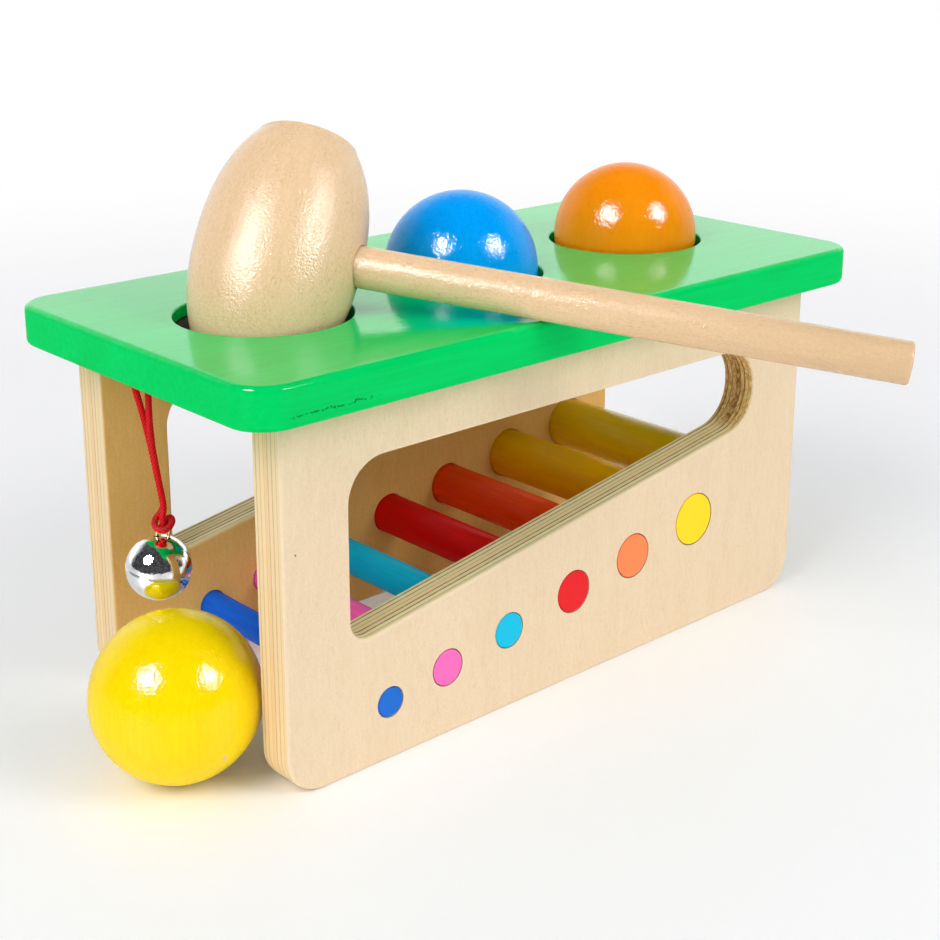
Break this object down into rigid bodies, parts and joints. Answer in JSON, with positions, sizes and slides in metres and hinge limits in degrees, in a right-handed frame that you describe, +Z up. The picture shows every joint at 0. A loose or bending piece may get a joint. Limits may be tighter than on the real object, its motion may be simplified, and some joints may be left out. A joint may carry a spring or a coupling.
{
  "type": "ball pounding bench",
  "caption": "Toy bench whose balls are struck through holes in its top and roll down a ramp of rods to a hanging bell, with its mallet.",
  "frame": {"origin": "on the floor, under the middle of the whole object's plan: bench, floor ball and mallet handle", "axes": "+Z up, +X along the board from the open end with the bell to the closed end, +Y from the front panel to the back panel"},
  "size_m": [0.2626, 0.2003, 0.1696],
  "materials": {
    "green_paint": "gloss paint",
    "birch_ply": "sanded and lightly waxed birch plywood",
    "beech": "satin clear lacquer",
    "blue_paint": "gloss paint",
    "pink_paint": "gloss paint",
    "light_blue_paint": "gloss paint",
    "red_paint": "gloss paint",
    "orange_rod_paint": "gloss paint",
    "yellow_paint": "gloss paint",
    "blue_ball_paint": "gloss paint",
    "orange_ball_paint": "gloss paint",
    "yellow_ball_paint": "gloss paint",
    "black_rubber": "matte",
    "chrome": "mirror plated",
    "steel": "bare",
    "brass_wire": "bright wire",
    "red_cord": "braided"
  },
  "bodies": {
    "bench": {"top_board": "green_paint", "front_panel": "birch_ply", "back_panel": "birch_ply", "rod_blue": "blue_paint", "rod_pink": "pink_paint", "rod_light_blue": "light_blue_paint", "rod_red": "red_paint", "rod_orange": "orange_rod_paint", "rod_yellow": "yellow_paint", "rod_end": "yellow_paint", "mallet_hole_ring": "black_rubber", "middle_hole_ring": "black_rubber", "far_hole_ring": "black_rubber", "dowel_front_1": "beech", "dowel_front_2": "beech", "dowel_front_3": "beech", "dowel_back_1": "beech", "dowel_back_2": "beech", "dowel_back_3": "beech", "cord_plug": "beech"},
    "ball_blue": {"ball_blue": "blue_ball_paint"},
    "ball_orange": {"ball_orange": "orange_ball_paint"},
    "ball_yellow": {"ball_yellow": "yellow_ball_paint"},
    "mallet": {"mallet_head": "beech", "mallet_handle": "beech"},
    "bell": {"bell_upper_shell": "chrome", "bell_lower_shell": "chrome", "bell_loop": "brass_wire", "bell_cord": "red_cord"},
    "pellet": {"bell_pellet": "steel"}
  },
  "joints": [
    {"name": "mallet_lift", "type": "slide", "parent": "bench", "child": "mallet", "axis": [0.5157, 0.2478, 0.8202], "range_m": [0, 0.1]},
    {"name": "ball_blue_drop", "type": "slide", "parent": "bench", "child": "ball_blue", "axis": [0, 0, 1], "range_m": [-0.061, 0.03], "deforming": ["middle_hole_ring"]},
    {"name": "ball_orange_drop", "type": "slide", "parent": "bench", "child": "ball_orange", "axis": [0, 0, 1], "range_m": [-0.0476, 0.03], "deforming": ["far_hole_ring"]},
    {"name": "ball_yellow_roll", "type": "slide", "parent": "bench", "child": "ball_yellow", "axis": [1, 0, 0], "range_m": [-0.1, 0]},
    {"name": "bell_swing", "type": "hinge", "parent": "bench", "child": "bell", "pos_m": [-0.10352, 0.04033, 0.1069], "axis": [0, 1, 0], "range_deg": [-45, 60], "deforming": ["bell_cord"]},
    {"name": "pellet_rattle", "type": "slide", "parent": "bell", "child": "pellet", "axis": [0, 0, 1], "range_m": [0, 0.008]}
  ]
}
